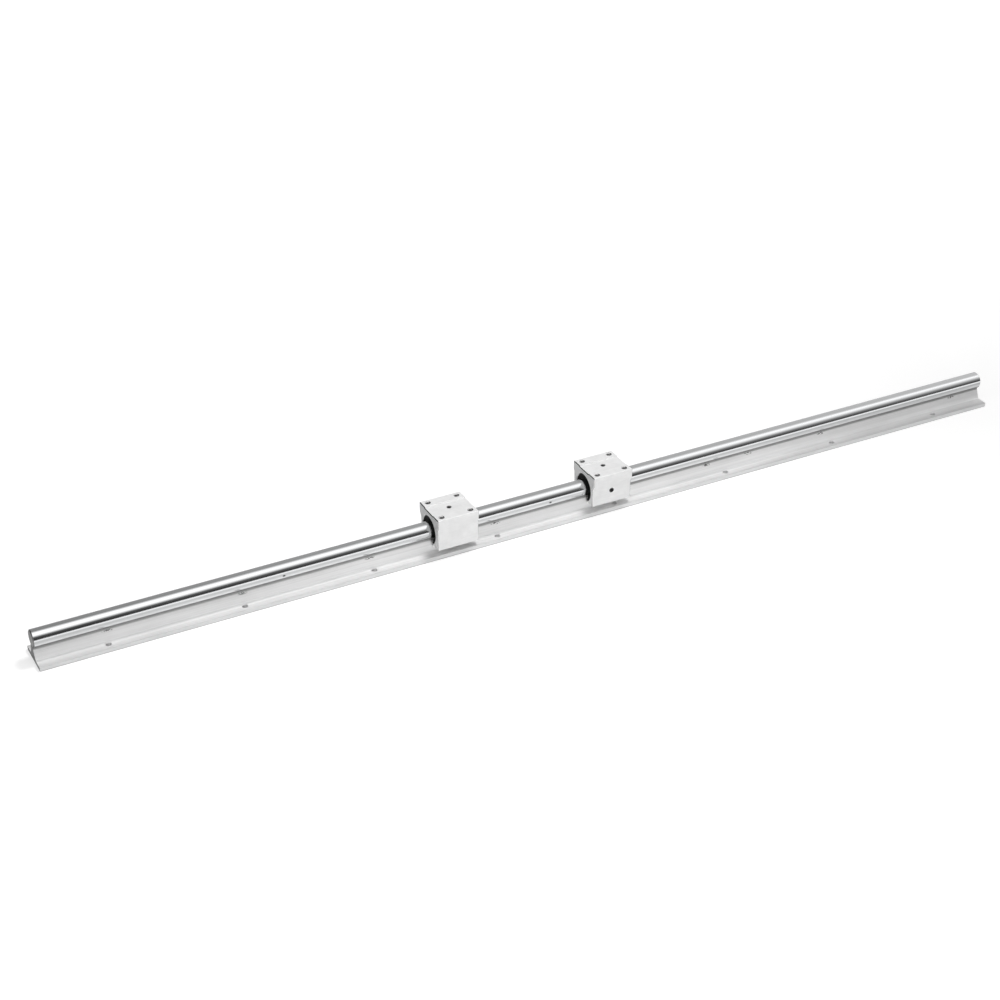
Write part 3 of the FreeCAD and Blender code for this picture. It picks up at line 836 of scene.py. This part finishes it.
def make_wiper(side, end):
    """A black lip seal, open at the bottom, dished from its rim down to the lip on the shaft."""
    name = side + "_" + end + "_seal"
    low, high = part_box(name)
    housing_low, housing_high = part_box(side + "_housing")
    outward = 1 if abs(high.x - housing_high.x) < abs(low.x - housing_low.x) else -1
    face = high.x if outward > 0 else low.x
    thickness = high.x - low.x
    rim = (high - low).y / 2
    lip = SHAFT_RADIUS + LIP_CLEARANCE
    profile = [(thickness, rim), (WIPER_BEVEL, rim), (0, rim - WIPER_BEVEL), (0, WIPER_RIM + WIPER_ROUND),
               (WIPER_ROUND, WIPER_RIM), (DISH_EDGE, WIPER_RIM - WIPER_BEVEL), (DISH_DEPTH, DISH_RADIUS),
               (DISH_DEPTH, lip + WIPER_ROUND), (DISH_DEPTH + WIPER_ROUND, lip),
               (DISH_DEPTH + LIP_LENGTH, lip), (thickness, lip + LIP_RELIEF)]
    outline = [(face - outward * depth, radius) for depth, radius in profile]
    shape = turned_part(outline, WIPER_GAP, 360 - WIPER_GAP)
    bmesh.ops.translate(shape, verts=shape.verts, vec=(0, 0, SHAFT_AXIS))
    wiper = piece(side + "_" + end + "_wiper", shape, side + "_carriage", [name],
                  ["seal_rubber"])
    smooth(wiper)


# ---- the stage ----

def stage_object(name, shape, material):
    """A piece of the surroundings, which is not part of the object."""
    made = placed(name, as_mesh(name, shape))
    made.data.materials.append(material)
    return made


def floor_glow(paint):
    """How much the floor glows: nearly white when seen straight, and in mirrors darker beside the rail as
    its painted shadow.
    """
    rays = paint.add("ShaderNodeLightPath").outputs
    x, y, _ = paint.axes(paint.place)
    across = paint.math("ABSOLUTE", y)
    beyond = paint.math("SUBTRACT", paint.math("ABSOLUTE", x), HALF_LENGTH)
    white = paint.span(paint.larger(across, beyond), *FLOOR_FAR, 1.0, FLOOR_WHITE)
    right = paint.span(x, 0.0, HALF_LENGTH, 1.0, FLOOR_RIGHT)
    straight = paint.product(rays["Is Camera Ray"], white, right)
    # Painted shadow of the rail on the floor as mirrors see it, and painted light beside the right end.
    beside = paint.larger(paint.span(across, *FLOOR_NEAR, FLOOR_CLOSE, FLOOR_MIDDLE),
                          paint.span(across, *FLOOR_WIDE, FLOOR_MIDDLE, 1.0))
    fading = paint.span(across, *FLOOR_END, FLOOR_MIRRORED, 0.0)
    lifted = paint.span(x, 0.0, HALF_LENGTH, 1.0, FLOOR_LIFT)
    bounced = paint.larger(rays["Is Glossy Ray"], rays["Is Transmission Ray"])
    mirrored = paint.product(bounced, beside, fading, lifted)
    return paint.product(paint.larger(straight, mirrored), FLOOR_GLOW)


def make_floor():
    """A pale floor that keeps the object's shadow, and is clear from below."""
    paint = Paint("floor", Roughness=1.0, Specular_IOR_Level=0.0, Base_Color=grey(FLOOR_TONE),
                  Emission_Color=grey(1.0))
    paint.fill(paint.shader.inputs["Emission Strength"], floor_glow(paint))
    below = paint.add("ShaderNodeMixShader")
    paint.fill(below.inputs[0], paint.add("ShaderNodeNewGeometry").outputs["Backfacing"])
    paint.fill(below.inputs[1], paint.shader.outputs[0])
    paint.fill(below.inputs[2], paint.add("ShaderNodeBsdfTransparent").outputs[0])
    paint.fill(paint.tree.nodes["Material Output"].inputs["Surface"], below.outputs[0])
    shape = bmesh.new()
    bmesh.ops.create_grid(shape, x_segments=1, y_segments=1, size=FLOOR_REACH)
    stage_object("floor", shape, paint.material)


def tent_stops(station):
    """The tent's levels at one of its stations, as stops from behind over the top to the front."""
    return [(0.5 + degrees / 180, levels[station] / TENT_STRENGTH) for degrees, *levels in TENT_BANDS]


def tent_material():
    """Light that follows TENT_BANDS round the rail and from station to station along it."""
    material = bpy.data.materials.new("tent")
    tree = Tree(material)
    tree.tree.nodes.clear()
    x, y, z = tree.axes(tree.add("ShaderNodeNewGeometry").outputs["Position"])
    turn = tree.span(tree.math("ARCTAN2", y, z), math.pi / 2, -math.pi / 2)
    level = tree.curve(turn, tent_stops(0))
    for station in range(1, len(TENT_STATIONS)):
        along = tree.span(x, TENT_STATIONS[station - 1], TENT_STATIONS[station])
        level = tree.mix(along, level, tree.curve(turn, tent_stops(station)))
    glow = tree.add("ShaderNodeEmission")
    tree.fill(glow.inputs["Color"], level)
    tree.fill(glow.inputs["Strength"], TENT_STRENGTH * TENT_DIM)
    tree.fill(tree.add("ShaderNodeOutputMaterial").inputs["Surface"], glow.outputs[0])
    return material


def make_tent():
    """A light tent over the rail, open at its right end: bright overhead and dark at the front."""
    shape = bmesh.new()
    rows = []
    for step in range(TENT_STEPS + 1):
        angle = math.radians(-90 + 180 * step / TENT_STEPS)
        spot = (-TENT_RADIUS * math.sin(angle), TENT_RADIUS * math.cos(angle))
        rows.append([shape.verts.new((end, *spot)) for end in TENT_ENDS])
    for row, following in zip(rows, rows[1:]):
        shape.faces.new((row[0], row[1], following[1], following[0]))
    shape.faces.new([row[0] for row in rows])
    tent = stage_object("tent", shape, tent_material())
    tent.visible_camera = False


def soft_lamp(name, place, target, cone, radius, power):
    """A soft spot lamp that only matt surfaces answer to; its cone is in degrees."""
    lamp = bpy.data.lights.new(name, "SPOT")
    lamp.energy = power
    lamp.spot_size = math.radians(cone)
    lamp.spot_blend = 1.0
    lamp.shadow_soft_size = radius
    made = placed(name, lamp)
    aim = Vector(target) - Vector(place)
    made.matrix_world = Matrix.Translation(place) @ aim.to_track_quat("-Z", "Y").to_matrix().to_4x4()
    made.visible_glossy = False


def make_lamps():
    """Two lamps, both aimed at the rail's left half."""
    soft_lamp("overhead", place=(0.42, 0.12, 1.8), target=(-0.24, 0.0, 0.0), cone=47, radius=0.25, power=102)
    soft_lamp("front", place=(-0.1, -2.1, 0.2), target=(-0.14, 0.0, 0.0), cone=58, radius=0.15, power=102)


def make_world():
    """A plain white surround beyond the tent."""
    world = bpy.data.worlds.new("surround")
    world.use_nodes = True
    world.node_tree.nodes["Background"].inputs["Color"].default_value = grey(1.0)
    bpy.context.scene.world = world


def make_camera():
    """The photograph's view."""
    camera = placed("camera", bpy.data.cameras.new("camera"))
    camera.data.lens = CAMERA_LENS
    camera.matrix_world = (Matrix.Translation(CAMERA_PLACE)
                           @ Matrix.Rotation(-math.radians(CAMERA_HEADING), 4, "Z")
                           @ Matrix.Rotation(math.radians(90 - CAMERA_DIP), 4, "X")
                           @ Matrix.Rotation(-math.radians(CAMERA_ROLL), 4, "Z"))
    bpy.context.scene.camera = camera


make_camera()
make_shaft()
make_support()
finish_nodes()
for side in ("left", "right"):
    make_block(side)
    for end in ("outer", "inner"):
        make_wiper(side, end)
make_floor()
make_tent()
make_lamps()
make_world()
bpy.context.scene.view_settings.view_transform = "Standard"
